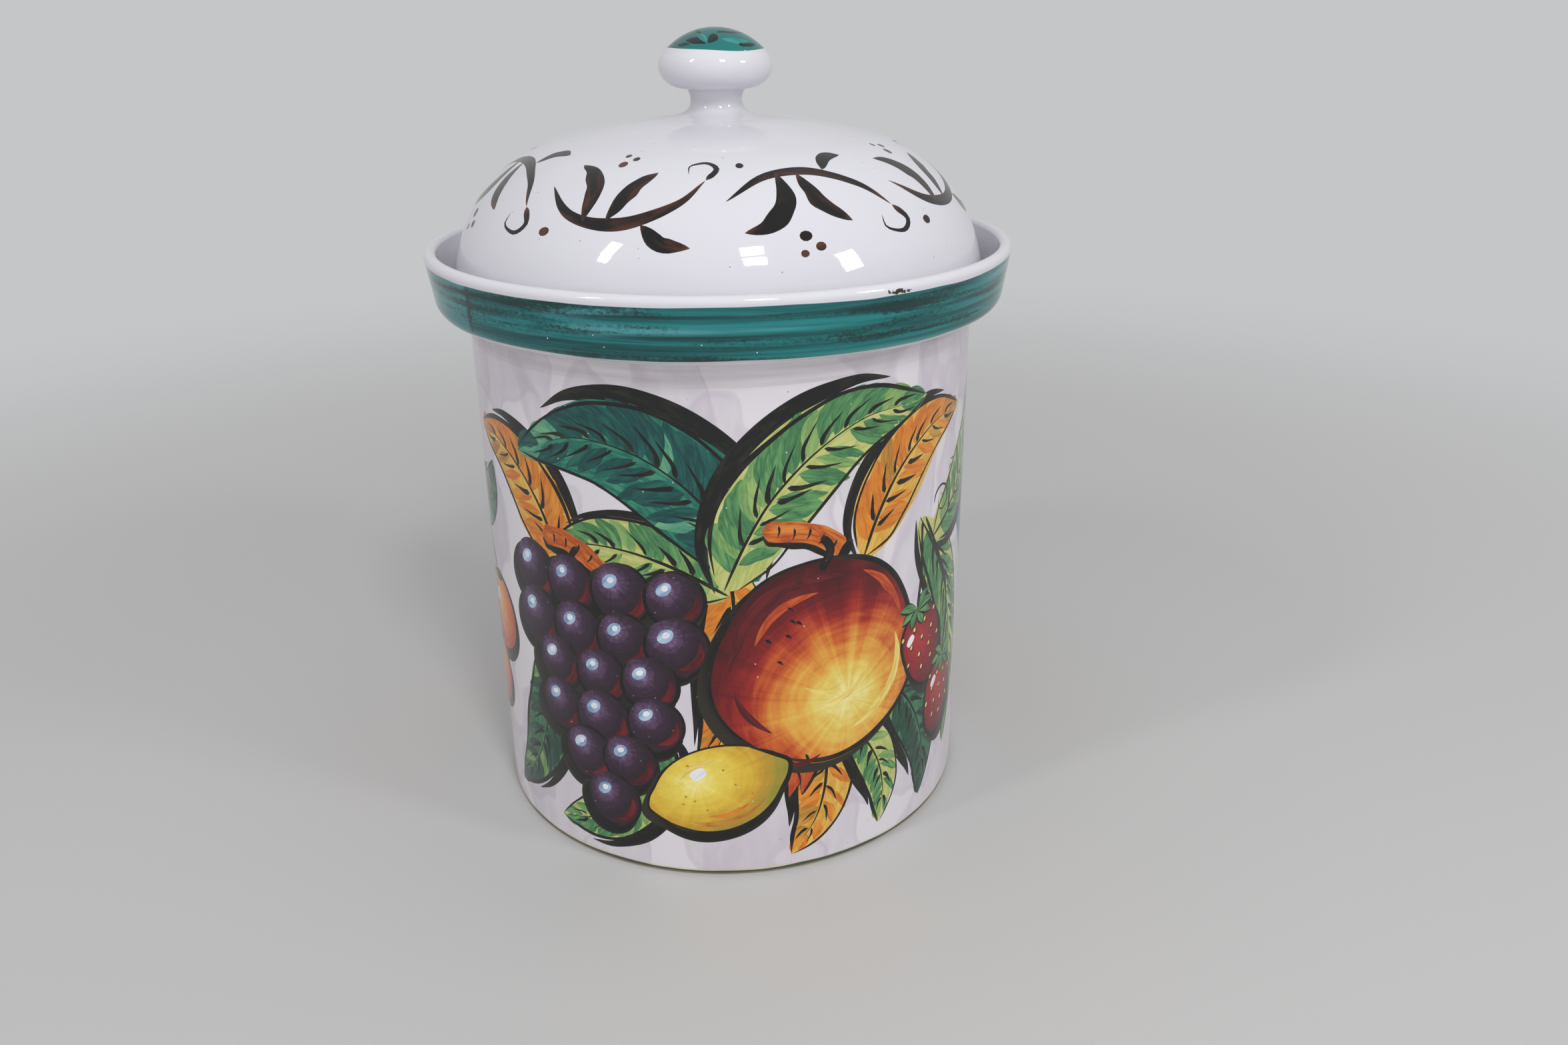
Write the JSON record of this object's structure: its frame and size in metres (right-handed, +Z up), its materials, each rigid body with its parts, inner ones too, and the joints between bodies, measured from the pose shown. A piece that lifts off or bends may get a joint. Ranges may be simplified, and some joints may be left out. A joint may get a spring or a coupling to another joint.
{
  "type": "lidded fruit crock",
  "caption": "Round glazed crock with an overhanging gallery collar and a domed lift-off lid with a turned knob, for steeping fruit in spirit.",
  "frame": {"origin": "centre of the foot ring, on the surface the crock stands on", "axes": "+Z up along the axis of the crock and lid, +X to the right and -Y towards the viewer of the picture"},
  "size_m": [0.229, 0.229, 0.3106],
  "materials": {
    "body_glaze": "glossy white tin glaze with painted fruit and leaves",
    "collar_glaze": "glossy teal brushed band under a white lip",
    "lid_glaze": "glossy white tin glaze with a brushed dark border",
    "knob_glaze": "glossy white tin glaze with a teal cap"
  },
  "bodies": {
    "crock": {"crock_body": "body_glaze", "gallery_collar": "collar_glaze"},
    "lid": {"lid_dome": "lid_glaze", "lid_knob": "knob_glaze"}
  },
  "joints": [
    {"name": "lid_lift", "type": "slide", "parent": "crock", "child": "lid", "axis": [0, 0, 1], "range_m": [0, 0.1]}
  ]
}
